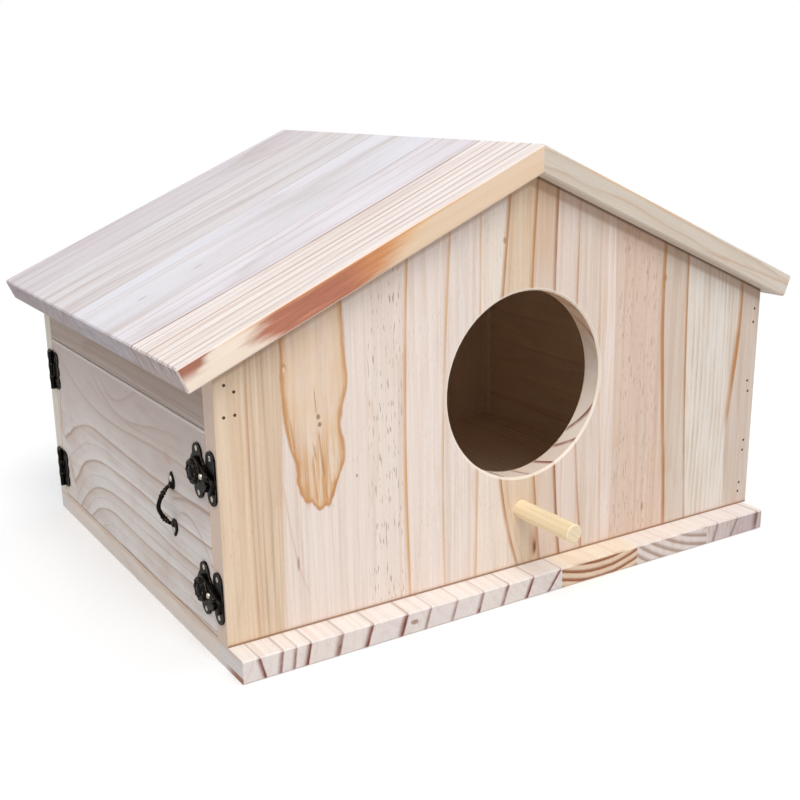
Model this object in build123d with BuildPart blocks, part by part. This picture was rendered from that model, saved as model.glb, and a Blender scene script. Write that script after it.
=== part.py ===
from build123d import *
from math import atan2, cos, hypot, radians, sin, tan
import os

os.makedirs("parts", exist_ok=True)

# A wooden nest box for parrots: a board house with a gabled roof, a round
# entrance, a perch dowel and a side door on two hinges with two swing latches.
# Millimetres. X runs to the right, the front faces -Y, Z is up. The origin is
# the middle of the walls' footprint on the underside of the floor board.

# Boards
body_width = 350.0
body_depth = 268.0
wall_height = 134.0
roof_pitch = 23.6
floor_thickness = 12.0
front_thickness = 12.0
back_thickness = 12.0
side_thickness = 12.0
roof_thickness = 12.8
floor_lip = 16.0
floor_setback = 3.0
left_overhang = 15.0
right_overhang = 9.0
front_overhang = 10.5
back_overhang = 5.5
board_arris = 0.8

# Entrance and perch
entrance_radius = 50.0
entrance_height = 113.0
entrance_arris = 1.0
perch_radius = 5.0
perch_fit = 0.05
perch_reach = 44.0
perch_offset = -2.5
perch_drop = 68.0
perch_arris = 0.6

# Door in the left side
door_height = 102.0
door_gap = 1.0
door_arris = 0.5

# Butterfly hinges
hinge_height = 23.6
hinge_leaf_reach = 10.8
hinge_leaf_thickness = 0.9
hinge_lobe_radius = 4.4
hinge_barrel_radius = 1.6
hinge_barrel_lift = 0.15
hinge_barrel_relief = 0.4
hinge_pin_radius = 0.7
hinge_pin_fit = 0.05
hinge_knuckle_gap = 0.2
hinge_pin_head = 0.5
hinge_top_margin = 19.5
hinge_bottom_margin = 18.0
hinge_screw_spacing = 14.6
hinge_screw_reach = 6.3

# Swing latches
latch_top_margin = 20.8
latch_bottom_margin = 22.0
latch_inset = 21.5
latch_disc_radius = 9.0
latch_ear_radius = 5.0
latch_ear_spacing = 17.0
latch_neck_radius = 1.2
latch_base_thickness = 1.1
latch_screw_spacing = 21.6
hook_gap = 0.15
hook_thickness = 1.6
hook_hub_radius = 8.0
hook_tip_radius = 4.6
hook_ring_inner = 4.0
hook_ring_outer = 7.2
hook_ring_rise = 1.2
hook_thumb_radius = 1.1
hook_thumb_rise = 1.5
hook_thumb_land = 0.25
rivet_radius = 1.5
rivet_fit = 0.05
rivet_head_radius = 3.0
rivet_head_gap = 0.1
rivet_head_rise = 1.3
catch_inset = 6.3
catch_length = 26.2
catch_width = 9.5
catch_thickness = 1.0
catch_screw_spacing = 19.4
stud_radius = 1.6
stud_length = 4.4
stud_drop = 3.0
stud_clearance = 0.3
notch_sweep = 60.0

# Pull handle
handle_inset = 58.0
handle_above_middle = 2.2
handle_root_spacing = 20.4
handle_root_height = 1.0
handle_rise = 8.1
handle_rod_radius = 1.1
bow_sides = 6
handle_collar_radius = 1.8
handle_collar_length = 0.9
handle_collar_spread = 0.15
handle_foot_length = 9.0
handle_foot_width = 8.4
handle_foot_neck = 3.4
handle_foot_inner = 16.2
handle_foot_thickness = 1.1
handle_screw_spacing = 27.0

# Holes in the metal for flush screw heads
screw_hole_radius = 1.4

half_width = body_width / 2
half_depth = body_depth / 2
slope = tan(radians(roof_pitch))
eave_wall_height = floor_thickness + wall_height
apex_height = eave_wall_height + half_width * slope
ridge_height = apex_height + roof_thickness / cos(radians(roof_pitch))
side_length = body_depth - front_thickness - back_thickness
door_length = side_length - 2 * door_gap
door_bottom = floor_thickness + door_gap
door_top = door_bottom + door_height
rail_bottom = door_top + door_gap
hinge_upper_height = door_top - hinge_top_margin
hinge_lower_height = door_bottom + hinge_bottom_margin
latch_upper_height = door_top - latch_top_margin
latch_lower_height = door_bottom + latch_bottom_margin
perch_height = entrance_height - perch_drop
handle_height = (door_bottom + door_top) / 2 + handle_above_middle
hinge_line = half_depth - back_thickness - door_gap / 2
hinge_axis_lift = hinge_barrel_radius + hinge_barrel_lift


def gable_outline():
    """Closed outline of a gable wall in the X-Z plane."""
    with BuildLine() as outline:
        Polyline(
            (-half_width, floor_thickness),
            (half_width, floor_thickness),
            (half_width, eave_wall_height),
            (0, apex_height),
            (-half_width, eave_wall_height),
            close=True,
        )
    return outline.line


def side_plane(inset, height):
    """Plane on the left face: x towards the front, y up, normal outwards."""
    return Plane(
        origin=(-half_width, inset - half_depth, height),
        x_dir=(0, -1, 0),
        z_dir=(-1, 0, 0),
    )


def side_section(inset, height):
    """Level plane through the same point: x towards the front, y outwards."""
    return Plane(
        origin=(-half_width, inset - half_depth, height),
        x_dir=(0, -1, 0),
        z_dir=(0, 0, -1),
    )


def outward_axis(inset, height):
    return Axis((-half_width, inset - half_depth, height), (-1, 0, 0))


def write(builder, node):
    builder.part.label = node
    export_step(builder.part, f"parts/{node}.step")


# Floor board: flush with the door side and the back, with a lip at the front.
with BuildPart() as floor_board:
    with BuildSketch(Plane.XY):
        with BuildLine():
            Polyline(
                (-half_width, -half_depth - floor_lip),
                (half_width - floor_setback, -half_depth - floor_lip),
                (half_width - floor_setback, half_depth),
                (-half_width, half_depth),
                close=True,
            )
        make_face()
    extrude(amount=floor_thickness)
    lip_edges = floor_board.edges().filter_by(Axis.X).group_by(Axis.Y)[0]
    chamfer(lip_edges, board_arris)
write(floor_board, "floor_board")

# Front wall: gable board with the round entrance and the hole for the perch.
with BuildPart() as front_wall:
    with BuildSketch(Plane.XZ.offset(half_depth)):
        add(gable_outline())
        make_face()
        with Locations((0, entrance_height)):
            Circle(entrance_radius, mode=Mode.SUBTRACT)
        with Locations((perch_offset, perch_height)):
            Circle(perch_radius + perch_fit, mode=Mode.SUBTRACT)
    extrude(amount=-front_thickness)
    outer_edges = front_wall.edges().group_by(Axis.Y)[0].filter_by(GeomType.CIRCLE)
    chamfer(outer_edges.group_by(SortBy.RADIUS)[-1], entrance_arris)
write(front_wall, "front_wall")

# Back wall: the same gable board without holes.
with BuildPart() as back_wall:
    with BuildSketch(Plane.XZ.offset(back_thickness - half_depth)):
        add(gable_outline())
        make_face()
    extrude(amount=-back_thickness)
write(back_wall, "back_wall")

# Right wall: stands between the gable walls, its top edge follows the roof.
with BuildPart() as right_wall:
    with BuildSketch(Plane.XZ.offset(half_depth - front_thickness)):
        with BuildLine():
            Polyline(
                (half_width - side_thickness, floor_thickness),
                (half_width, floor_thickness),
                (half_width, eave_wall_height),
                (half_width - side_thickness, eave_wall_height + side_thickness * slope),
                close=True,
            )
        make_face()
    extrude(amount=-side_length)
write(right_wall, "right_wall")

# Rail over the door on the left side.
with BuildPart() as left_top_rail:
    with BuildSketch(Plane.XZ.offset(half_depth - front_thickness)):
        with BuildLine():
            Polyline(
                (-half_width, rail_bottom),
                (side_thickness - half_width, rail_bottom),
                (side_thickness - half_width, eave_wall_height + side_thickness * slope),
                (-half_width, eave_wall_height),
                close=True,
            )
        make_face()
    extrude(amount=-side_length)
write(left_top_rail, "left_top_rail")

# Roof panels: mitred at the ridge, their eave ends cut square to the board.
roof_length = front_overhang + body_depth + back_overhang
for side, overhang, node in ((-1, left_overhang, "roof_left"), (1, right_overhang, "roof_right")):
    eave = half_width + overhang
    eave_height = eave_wall_height - overhang * slope
    eave_top = eave + roof_thickness * sin(radians(roof_pitch))
    eave_top_height = eave_height + roof_thickness * cos(radians(roof_pitch))
    with BuildPart() as roof_panel:
        with BuildSketch(Plane.XZ.offset(half_depth + front_overhang)):
            with BuildLine():
                Polyline(
                    (0, apex_height),
                    (side * eave, eave_height),
                    (side * eave_top, eave_top_height),
                    (0, ridge_height),
                    close=True,
                )
            make_face()
        extrude(amount=-roof_length)
        ridge_edges = roof_panel.edges().group_by(Axis.X)[-1 if side < 0 else 0]
        chamfer(roof_panel.edges() - ridge_edges, board_arris)
    write(roof_panel, node)

# Perch dowel: glued through the front wall, flush with its inner face.
with BuildPart() as perch:
    with BuildSketch(Plane.XZ.offset(half_depth - front_thickness)):
        with Locations((perch_offset, perch_height)):
            Circle(perch_radius)
    extrude(amount=front_thickness + perch_reach)
    chamfer(perch.edges().group_by(Axis.Y)[0], perch_arris)
write(perch, "perch")

# Door: one board between the gable walls, below the rail.
with BuildPart() as door:
    with BuildSketch(Plane.XY.offset(door_bottom)):
        with Locations((side_thickness / 2 - half_width, (front_thickness - back_thickness) / 2)):
            Rectangle(side_thickness, door_length)
    extrude(amount=door_height)
    outer_edges = door.faces().sort_by(Axis.X)[0].edges()
    chamfer(outer_edges, door_arris)
write(door, "door")

# Hinges: two scalloped leaves on the outer face, with a three-knuckle barrel.
hinge_inset = hinge_line + half_depth
knuckle_length = (hinge_height - 2 * hinge_knuckle_gap) / 3
lobe_rise = hinge_height / 2 - hinge_lobe_radius


def hinge_leaf(height, towards, knuckle_levels, node):
    """One leaf: towards is 1 for the door side and -1 for the wall side."""
    plate_start = hinge_barrel_radius + hinge_barrel_relief
    lobe_centre = hinge_leaf_reach - hinge_lobe_radius
    with BuildPart() as leaf:
        with BuildSketch(side_plane(hinge_inset, height)):
            with Locations((towards * (plate_start + lobe_centre) / 2, 0)):
                Rectangle(lobe_centre - plate_start, hinge_height)
            with Locations(
                (towards * lobe_centre, lobe_rise),
                (towards * lobe_centre, 0),
                (towards * lobe_centre, -lobe_rise),
            ):
                Circle(hinge_lobe_radius)
            with Locations([(towards * plate_start / 2, level) for level in knuckle_levels]):
                Rectangle(plate_start + 0.2, knuckle_length)
        extrude(amount=hinge_leaf_thickness)
        for level in knuckle_levels:
            with BuildSketch(side_section(hinge_inset, height + level - knuckle_length / 2)):
                with Locations((0, hinge_axis_lift)):
                    Circle(hinge_barrel_radius)
            extrude(amount=-knuckle_length)
        with BuildSketch(side_section(hinge_inset, height - hinge_height / 2)):
            with Locations((0, hinge_axis_lift)):
                Circle(hinge_pin_radius + hinge_pin_fit)
        extrude(amount=-hinge_height, mode=Mode.SUBTRACT)
        with Locations(side_plane(hinge_inset, height).offset(hinge_leaf_thickness)):
            with Locations(
                (towards * hinge_screw_reach, hinge_screw_spacing / 2),
                (towards * hinge_screw_reach, -hinge_screw_spacing / 2),
            ):
                Hole(screw_hole_radius, hinge_leaf_thickness)
    write(leaf, node)


for name, height in (("hinge_upper", hinge_upper_height), ("hinge_lower", hinge_lower_height)):
    outer_level = knuckle_length + hinge_knuckle_gap
    hinge_leaf(height, -1, (-outer_level, outer_level), f"{name}_wall_leaf")
    hinge_leaf(height, 1, (0,), f"{name}_door_leaf")
    pin_section = Plane(
        origin=(-half_width - hinge_axis_lift, hinge_line, height),
        x_dir=(0, -1, 0),
        z_dir=(-1, 0, 0),
    )
    with BuildPart() as hinge_pin:
        with BuildSketch(pin_section):
            with BuildLine():
                Polyline(
                    (0, -hinge_height / 2 - hinge_pin_head),
                    (hinge_barrel_radius, -hinge_height / 2 - hinge_pin_head),
                    (hinge_barrel_radius, -hinge_height / 2),
                    (hinge_pin_radius, -hinge_height / 2),
                    (hinge_pin_radius, hinge_height / 2),
                    (hinge_barrel_radius, hinge_height / 2),
                    (hinge_barrel_radius, hinge_height / 2 + hinge_pin_head),
                    (0, hinge_height / 2 + hinge_pin_head),
                    close=True,
                )
            make_face()
        revolve(axis=Axis((-half_width - hinge_axis_lift, hinge_line, height), (0, 0, 1)))
    write(hinge_pin, f"{name}_pin")

# Swing latches: a base with two ears on the door, a hook that turns on a
# rivet, and a catch with a stud on the edge of the front wall. The hook's
# notch follows an arc about the rivet, so that the hook lifts off the stud.
def on_disc(corner):
    return abs(hypot(corner.X, corner.Y) - latch_disc_radius) < 0.01


def off_level(corner):
    return abs(corner.Y) > 1


stud_across = latch_inset - catch_inset
stud_distance = hypot(stud_across, stud_drop)
stud_angle = atan2(-stud_drop, stud_across)
notch_end = stud_angle - radians(notch_sweep)
wedge_reach = 2 * stud_distance
thumb_level = stud_radius + stud_clearance + hook_thumb_land + hook_thumb_radius - stud_drop
hook_level = latch_base_thickness + hook_gap
hook_top = hook_level + hook_thickness

for name, height in (("latch_upper", latch_upper_height), ("latch_lower", latch_lower_height)):
    face = side_plane(latch_inset, height)
    section = side_section(latch_inset, height)
    axis = outward_axis(latch_inset, height)

    with BuildPart() as latch_base:
        with BuildSketch(face) as base_outline:
            Circle(latch_disc_radius)
            SlotCenterToCenter(latch_ear_spacing, 2 * latch_ear_radius, rotation=90)
            necks = base_outline.vertices().filter_by(on_disc).filter_by(off_level)
            fillet(necks, latch_neck_radius)
            Circle(rivet_radius + rivet_fit, mode=Mode.SUBTRACT)
        extrude(amount=latch_base_thickness)
        with Locations(face.offset(latch_base_thickness)):
            with Locations((0, latch_screw_spacing / 2), (0, -latch_screw_spacing / 2)):
                Hole(screw_hole_radius, latch_base_thickness)
    write(latch_base, f"{name}_base")

    with BuildPart() as latch_hook:
        with BuildSketch(face.offset(hook_level)):
            Circle(hook_hub_radius)
            with Locations((stud_across, -stud_drop)):
                Circle(hook_tip_radius)
            make_hull()
            with BuildSketch(face.offset(hook_level), mode=Mode.SUBTRACT):
                Circle(stud_distance + stud_radius + stud_clearance)
                Circle(stud_distance - stud_radius - stud_clearance, mode=Mode.SUBTRACT)
                with BuildLine():
                    Polyline(
                        (0, 0),
                        (wedge_reach * cos(stud_angle), wedge_reach * sin(stud_angle)),
                        (wedge_reach * cos(notch_end), wedge_reach * sin(notch_end)),
                        close=True,
                    )
                make_face(mode=Mode.INTERSECT)
            with Locations((stud_across, -stud_drop)):
                Circle(stud_radius + stud_clearance, mode=Mode.SUBTRACT)
            Circle(rivet_radius + rivet_fit, mode=Mode.SUBTRACT)
        extrude(amount=hook_thickness)
        with BuildSketch(face.offset(hook_top)):
            Circle(hook_ring_outer)
            Circle(hook_ring_inner, mode=Mode.SUBTRACT)
        extrude(amount=hook_ring_rise)
        with BuildSketch(face.offset(hook_top)):
            with Locations((stud_across, thumb_level)):
                Circle(hook_thumb_radius)
        extrude(amount=hook_thumb_rise)
    write(latch_hook, f"{name}_hook")

    head_base = hook_top + rivet_head_gap
    with BuildPart() as latch_rivet:
        with BuildSketch(section):
            with BuildLine():
                Polyline(
                    (0, 0),
                    (rivet_radius, 0),
                    (rivet_radius, head_base),
                    (rivet_head_radius, head_base),
                    (rivet_head_radius, head_base + rivet_head_rise),
                    (0, head_base + rivet_head_rise),
                    close=True,
                )
            make_face()
        revolve(axis=axis)
    write(latch_rivet, f"{name}_rivet")

    catch_face = side_plane(catch_inset, height)
    with BuildPart() as latch_catch:
        with BuildSketch(catch_face):
            SlotOverall(catch_length, catch_width, rotation=90)
        extrude(amount=catch_thickness)
        with BuildSketch(catch_face):
            with Locations((0, -stud_drop)):
                Circle(stud_radius)
        extrude(amount=stud_length)
        with Locations(catch_face.offset(catch_thickness)):
            with Locations((0, catch_screw_spacing / 2), (0, -catch_screw_spacing / 2)):
                Hole(screw_hole_radius, catch_thickness)
    write(latch_catch, f"{name}_catch")

# Pull handle: a bow with two collars, standing on two pointed leaf feet.
handle_face = side_plane(handle_inset, handle_height)
bow_plane = Plane(origin=handle_face.origin, x_dir=(0, 0, 1), z_dir=(0, -1, 0))
root_reach = handle_root_spacing / 2
foot_tip = handle_foot_inner / 2 + handle_foot_length
foot_middle = handle_foot_inner / 2 + handle_foot_length / 2

with BuildPart() as pull_handle:
    for end in (1, -1):
        with BuildSketch(handle_face):
            with BuildLine():
                ThreePointArc(
                    (handle_foot_neck / 2, end * handle_foot_inner / 2),
                    (handle_foot_width / 2, end * foot_middle),
                    (0, end * foot_tip),
                )
                ThreePointArc(
                    (0, end * foot_tip),
                    (-handle_foot_width / 2, end * foot_middle),
                    (-handle_foot_neck / 2, end * handle_foot_inner / 2),
                )
                Line(
                    (-handle_foot_neck / 2, end * handle_foot_inner / 2),
                    (handle_foot_neck / 2, end * handle_foot_inner / 2),
                )
            make_face()
        extrude(amount=handle_foot_thickness)
    with BuildLine(bow_plane) as bow:
        ThreePointArc((-root_reach, handle_root_height), (0, handle_rise), (root_reach, handle_root_height))
    with BuildSketch(Plane(origin=bow.line @ 0, z_dir=bow.line % 0)):
        RegularPolygon(handle_rod_radius, bow_sides)
    sweep(path=bow.line)
    for place in (0.5 - handle_collar_spread, 0.5 + handle_collar_spread):
        with BuildSketch(Plane(origin=bow.line @ place, z_dir=bow.line % place)):
            RegularPolygon(handle_collar_radius, bow_sides)
        extrude(amount=handle_collar_length / 2, both=True)
    with Locations(handle_face.offset(handle_foot_thickness)):
        with Locations((0, handle_screw_spacing / 2), (0, -handle_screw_spacing / 2)):
            Hole(screw_hole_radius, handle_foot_thickness)
write(pull_handle, "pull_handle")
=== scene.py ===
import math
import random

import bmesh
import bpy
import numpy as np
from mathutils import Matrix, Vector


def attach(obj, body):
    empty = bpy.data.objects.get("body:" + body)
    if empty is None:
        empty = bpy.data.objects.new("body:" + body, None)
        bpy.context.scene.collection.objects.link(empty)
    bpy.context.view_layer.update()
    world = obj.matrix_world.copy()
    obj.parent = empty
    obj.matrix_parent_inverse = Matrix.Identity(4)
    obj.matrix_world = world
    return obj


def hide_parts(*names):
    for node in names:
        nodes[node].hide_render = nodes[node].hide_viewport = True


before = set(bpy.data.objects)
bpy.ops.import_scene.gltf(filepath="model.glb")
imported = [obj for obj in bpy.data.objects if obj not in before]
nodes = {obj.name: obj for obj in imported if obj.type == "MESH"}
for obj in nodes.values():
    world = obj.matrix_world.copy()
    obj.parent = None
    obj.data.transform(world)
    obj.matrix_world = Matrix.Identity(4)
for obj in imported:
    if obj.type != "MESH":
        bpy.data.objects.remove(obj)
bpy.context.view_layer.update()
scene = bpy.context.scene

# Places in mm; the boards are all one thickness.
PITCH = math.radians(23.6)
HALF_WIDTH = 175.0
HALF_DEPTH = 134.0
BOARD = 12.0
RIDGE_TOP = 236.42
RIDGE_BELOW = 222.46


def tone(red, green, blue):
    """A linear colour from values of 0 to 255 as a screen shows them."""
    def linear(value):
        value /= 255
        return value / 12.92 if value <= 0.04045 else ((value + 0.055) / 1.055) ** 2.4
    return (linear(red), linear(green), linear(blue), 1.0)


def grey(value):
    return (value, value, value, 1.0)


def placed(name, data):
    """A new object in the scene."""
    item = bpy.data.objects.new(name, data)
    scene.collection.objects.link(item)
    return item


class Net:
    """The nodes of a material or world, and short ways to add and link them."""

    def __init__(self, owner):
        self.owner = owner
        owner.use_nodes = True
        self.tree = owner.node_tree
        self.tree.nodes.clear()

    def feed(self, socket, value):
        if isinstance(value, bpy.types.NodeSocket):
            self.tree.links.new(value, socket)
        else:
            socket.default_value = value

    def add(self, kind, inputs=None, **settings):
        node = self.tree.nodes.new("ShaderNode" + kind)
        for key, value in settings.items():
            setattr(node, key, value)
        for key, value in (inputs or {}).items():
            self.feed(node.inputs[key], value)
        return node

    def math(self, operation, *values):
        node = self.add("Math", operation=operation)
        for socket, value in zip(node.inputs, values):
            self.feed(socket, value)
        return node.outputs[0]

    def total(self, *values):
        result = values[0]
        for value in values[1:]:
            result = self.math("ADD", result, value)
        return result

    def times(self, *values):
        result = values[0]
        for value in values[1:]:
            result = self.math("MULTIPLY", result, value)
        return result

    def less(self, value, taken):
        return self.math("SUBTRACT", value, taken)

    def scaled(self, value, factor, start):
        """value times factor, plus start."""
        return self.math("MULTIPLY_ADD", value, factor, start)

    def length(self, first, second):
        """The length of a line whose parts along two axes these are."""
        return self.math("SQRT", self.total(self.times(first, first), self.times(second, second)))

    def span(self, value, low, high, start=0.0, end=1.0, kind="SMOOTHSTEP"):
        """start where value is low, end where it is high, and smooth between them."""
        node = self.add("MapRange", {0: value, 1: low, 2: high, 3: start, 4: end}, interpolation_type=kind)
        return node.outputs[0]

    def point(self, x, y, z):
        return self.add("CombineXYZ", {0: x, 1: y, 2: z}).outputs[0]

    def noise(self, place, scale, detail=2.0, rough=0.5, warp=0.0):
        inputs = {"Vector": place, "Scale": scale, "Detail": detail, "Roughness": rough, "Distortion": warp}
        return self.add("TexNoise", inputs).outputs[0]

    def blend(self, factor, first, second, kind="MIX"):
        """Mixes two colours; one of three values is as for tone."""
        node = self.add("Mix", data_type="RGBA", blend_type=kind)
        for index, value in ((0, factor), (6, first), (7, second)):
            screen = isinstance(value, tuple) and len(value) == 3
            self.feed(node.inputs[index], tone(*value) if screen else value)
        return node.outputs[2]

    def plain(self, value):
        """A colour with the same value in all three channels."""
        return self.add("CombineColor", {0: value, 1: value, 2: value}).outputs[0]

    def ramp(self, value, stops):
        node = self.add("ValToRGB", {0: value})
        marks = node.color_ramp.elements
        while len(marks) < len(stops):
            marks.new(0.5)
        for mark, (place, shade) in zip(marks, stops):
            mark.position = place
            mark.color = grey(shade)
        return node.outputs[0]

    def surface(self, inputs, bump):
        """Closes a material with a shader and its bump, each given by its inputs."""
        shader = self.add("BsdfPrincipled", {**inputs, "Normal": self.add("Bump", bump).outputs[0]})
        self.add("OutputMaterial", {0: shader.outputs[0]})
        return self.owner


class Board(Net):
    """Wood of one board, in millimetres: a runs across the strips it is glued from,
    g along the grain, and t through its thickness."""

    def __init__(self, name, across, along, seed, tint, face=0.0):
        super().__init__(bpy.data.materials.new(name))
        self.random = random.Random(seed)
        place = self.add("TexCoord")
        self.facing = place.outputs["Normal"]
        across, along = Vector(across).normalized(), Vector(along).normalized()
        self.a = self.measure(place.outputs["Object"], across)
        self.g = self.measure(place.outputs["Object"], along)
        self.t = self.measure(place.outputs["Object"], across.cross(along).normalized())
        self.depth = self.less(self.t, face)
        self.shift = seed * 37.0
        wobble = self.noise(self.spread(0.02, 0.006, 0.02), 1.0, 2.0)
        parts = self.add("SeparateColor", {0: wobble.node.outputs[1]})
        self.sway = [self.less(part, 0.5) for part in parts.outputs[:3]]
        self.broken = self.noise(self.spread(0.09, 0.022, 0.09, 21.0), 1.0, 3.0)
        fuzz = self.noise(self.spread(0.45, 0.07, 0.45, 17.0), 1.0, 3.0)
        self.fuzz = self.less(fuzz, 0.5)
        self.ends = self.turned(along)
        self.colour = tint
        self.lot = (self.random.random(), self.random.random(), self.random.random(), 1.0)

    def across(self, *steps):
        return self.span(self.a, *steps)

    def along(self, *steps):
        return self.span(self.g, *steps)

    def deep(self, *steps):
        return self.span(self.depth, *steps)

    def measure(self, place, axis):
        node = self.add("VectorMath", {0: place, 1: tuple(1000 * axis)}, operation="DOT_PRODUCT")
        return node.outputs["Value"]

    def turned(self, axis, low=0.6, high=0.9):
        """1 where the surface faces along an axis, either way."""
        node = self.add("VectorMath", {0: self.facing, 1: tuple(axis)}, operation="DOT_PRODUCT")
        return self.span(self.math("ABSOLUTE", node.outputs["Value"]), low, high)

    def spread(self, a_scale, g_scale, t_scale, shift=0.0):
        """A texture place, stretched along the grain."""
        return self.point(
            self.scaled(self.a, a_scale, self.shift + shift), self.times(self.g, g_scale),
            self.times(self.t, t_scale),
        )

    def course(self, points, lean=0.0, sway=0.6, channel=0):
        """Distance in mm from a line along the grain. points are (a, g) on the shown face, and
        lean is how far the line moves per mm of depth."""
        if len(points) == 1:
            line = points[0][0]
        else:
            middle = sum(g for _, g in points) / len(points)
            degree = min(3, len(points) - 1)
            fit = np.polyfit([g - middle for _, g in points], [a for a, _ in points], degree)
            away = self.less(self.g, middle)
            line = float(fit[0])
            for factor in fit[1:]:
                line = self.scaled(line, away, float(factor))
        offset = self.less(self.a, line)
        if lean:
            offset = self.scaled(self.depth, -lean, offset)
        return self.scaled(self.sway[channel % 3], 2 * sway, offset)

    def strips(self, edges, tints):
        """Strips glued side by side, from low to high a; each edge is a course."""
        lots = [(self.random.random(), self.random.random(), self.random.random(), 1.0) for _ in tints]
        self.colour = tints[0]
        self.lot = lots[0]
        for edge, tint, lot in zip(edges, tints[1:], lots[1:]):
            beyond = self.math("GREATER_THAN", self.course(edge), 0.0)
            self.colour = self.blend(beyond, self.colour, tint)
            self.lot = self.blend(beyond, self.lot, lot)

    def mark(self, colour, *masks, kind="MIX"):
        self.colour = self.blend(self.times(*masks), self.colour, colour, kind)

    def paint_chamber_light(self, way):
        """Paints the face towards the chamber lighter and warmer, a board's thickness from depth 0 on the
        way side: painted light for the light that bounces inside the chamber.
        """
        self.room = self.deep(11.0 * way, 11.8 * way)
        self.mark(CHAMBER_LIT_TINT, self.room, 0.85)

    def within(self, value, *fades):
        """Product of smooth steps, each a pair of places from 0 to 1."""
        result = 1.0
        for low, high in fades:
            step = self.span(value, low, high)
            result = step if isinstance(result, float) else self.times(result, step)
        return result

    def stroke(self, offset, soft, hard, strength, colour, mask=None):
        """A late-wood line: it darkens over soft mm before the offset is 0 and ends over hard mm."""
        rise = self.span(offset, -soft, 0.0)
        fall = self.span(offset, 0.0, hard, 1.0, 0.0)
        fine = self.span(self.broken, 0.3, 0.6, 0.55 * strength, strength)
        amount = self.times(self.math("MINIMUM", rise, fall), fine)
        if mask is not None:
            amount = self.times(amount, mask)
        self.mark(colour, amount)

    def line(self, points, soft, hard, strength, colour, lean=0.0, sway=0.6, channel=0, fades=(), mask=None):
        if fades:
            ends = self.within(self.g, *fades)
            mask = ends if mask is None else self.times(mask, ends)
        self.stroke(self.course(points, lean, sway, channel), soft, hard, strength, colour, mask)

    def comb(self, low, high, pitch, strength, colour, mask=None):
        """Close straight grain between two places across the board."""
        turn = self.scaled(self.sway[1], 3.0, self.times(self.a, 1.0 / pitch))
        turn = self.scaled(self.fuzz, 0.35, turn)
        wave = self.ramp(
            self.math("FRACT", turn), [(0.0, 0.1), (0.15, 0.0), (0.75, 0.8), (0.9, 1.0), (1.0, 0.1)],
        )
        edge = self.within(self.a, (low - 0.5, low + 1.0), (high + 0.5, high - 1.0))
        amount = self.times(wave, edge, self.span(self.broken, 0.35, 0.65, 0.2 * strength, strength))
        self.mark(colour, amount if mask is None else self.times(amount, mask))

    def oval(self, a, g, wide, long, warp=0.25):
        """1 at the rim and less inside, of an oval with an uneven rim."""
        across = self.math("DIVIDE", self.less(self.a, a), wide)
        along = self.math("DIVIDE", self.less(self.g, g), long)
        return self.scaled(self.fuzz, warp, self.length(across, along))

    def spot(self, a, g, wide, long, strength, colour, warp=0.4, core=0.4):
        self.mark(colour, self.span(self.oval(a, g, wide, long, warp), core, 1.0, strength, 0.0))

    def spots(self, *rows):
        for row in rows:
            self.spot(*row)

    def dashes(self, amount, colour, fine=1.6, length=0.2, low=0.66, high=0.74):
        """Short dark dashes, as of resin canals cut lengthways."""
        pores = self.noise(self.spread(fine, length, fine, 5.0), 1.0, 1.0)
        self.mark(colour, self.span(pores, low, high), amount)

    def grain(self, rings=0.35, spacing=5.0, reach=90.0, near=25.0, streaks=0.12, dashes=0.35,
              late=(214, 168, 122)):
        """Growth rings about a far-off heart, fine streaks, mottling and dashes."""
        parts = self.add("SeparateColor", {0: self.lot})
        first, second, third = parts.outputs[:3]
        folded = self.less(self.math("MODULO", self.total(self.a, 2000.0), 173.0), 86.0)
        heart_a = self.scaled(first, 2 * reach, -reach)
        heart_t = self.scaled(second, 60.0, near)
        from_a = self.scaled(self.sway[0], 22.0, self.less(folded, heart_a))
        from_t = self.scaled(self.sway[1], 26.0, self.less(self.t, heart_t))
        pace = self.scaled(third, 0.5 / spacing, 0.75 / spacing)
        turn = self.scaled(self.fuzz, 0.12, self.times(self.length(from_a, from_t), pace))
        wave = self.ramp(
            self.math("FRACT", turn),
            [(0.0, 0.25), (0.06, 0.0), (0.45, 0.05), (0.8, 0.55), (0.95, 1.0), (1.0, 0.25)],
        )
        self.late = self.times(wave, self.span(self.broken, 0.25, 0.7, 0.45, 1.0))
        self.mark(late, self.late, rings, kind="MULTIPLY")
        self.fine = self.noise(self.spread(0.85, 0.011, 0.85, 3.0), 1.0, 4.0, 0.6)
        light = self.span(self.fine, 0.25, 0.75, 1.0 - streaks, 1.0 + streaks * 0.35, "LINEAR")
        broad = self.noise(self.spread(0.05, 0.006, 0.05, 9.0), 1.0, 2.0)
        self.mark(self.blend(broad, (255, 243, 230), (250, 250, 255)), 0.4, kind="MULTIPLY")
        flames = self.noise(self.spread(0.28, 0.0045, 0.28, 14.0), 1.0, 3.0, 0.55, 0.4)
        self.mark((222, 190, 160), self.span(flames, 0.5, 0.72), 2.2 * streaks, kind="MULTIPLY")
        speckle = self.noise(self.spread(2.6, 0.5, 2.6, 7.0), 1.0, 2.0)
        light = self.times(light, self.span(speckle, 0.25, 0.75, 0.955, 1.035, "LINEAR"))
        patch = self.noise(self.spread(0.03, 0.012, 0.03, 12.0), 1.0, 1.0)
        self.dashes(self.span(patch, 0.42, 0.62, 0.0, dashes), (176, 142, 118))
        self.mark(self.plain(light), 1.0, kind="MULTIPLY")

    def end_grain(self, colour, amount):
        """Board ends: darker, greyer, with pores."""
        pores = self.noise(self.spread(2.2, 2.2, 2.2, 31.0), 1.0, 2.0)
        shade = self.span(pores, 0.3, 0.7, 0.86, 1.05, "LINEAR")
        darker = self.blend(1.0, self.colour, colour, "MULTIPLY")
        darker = self.blend(1.0, darker, self.plain(shade), "MULTIPLY")
        self.mark(darker, self.ends, amount)

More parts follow.
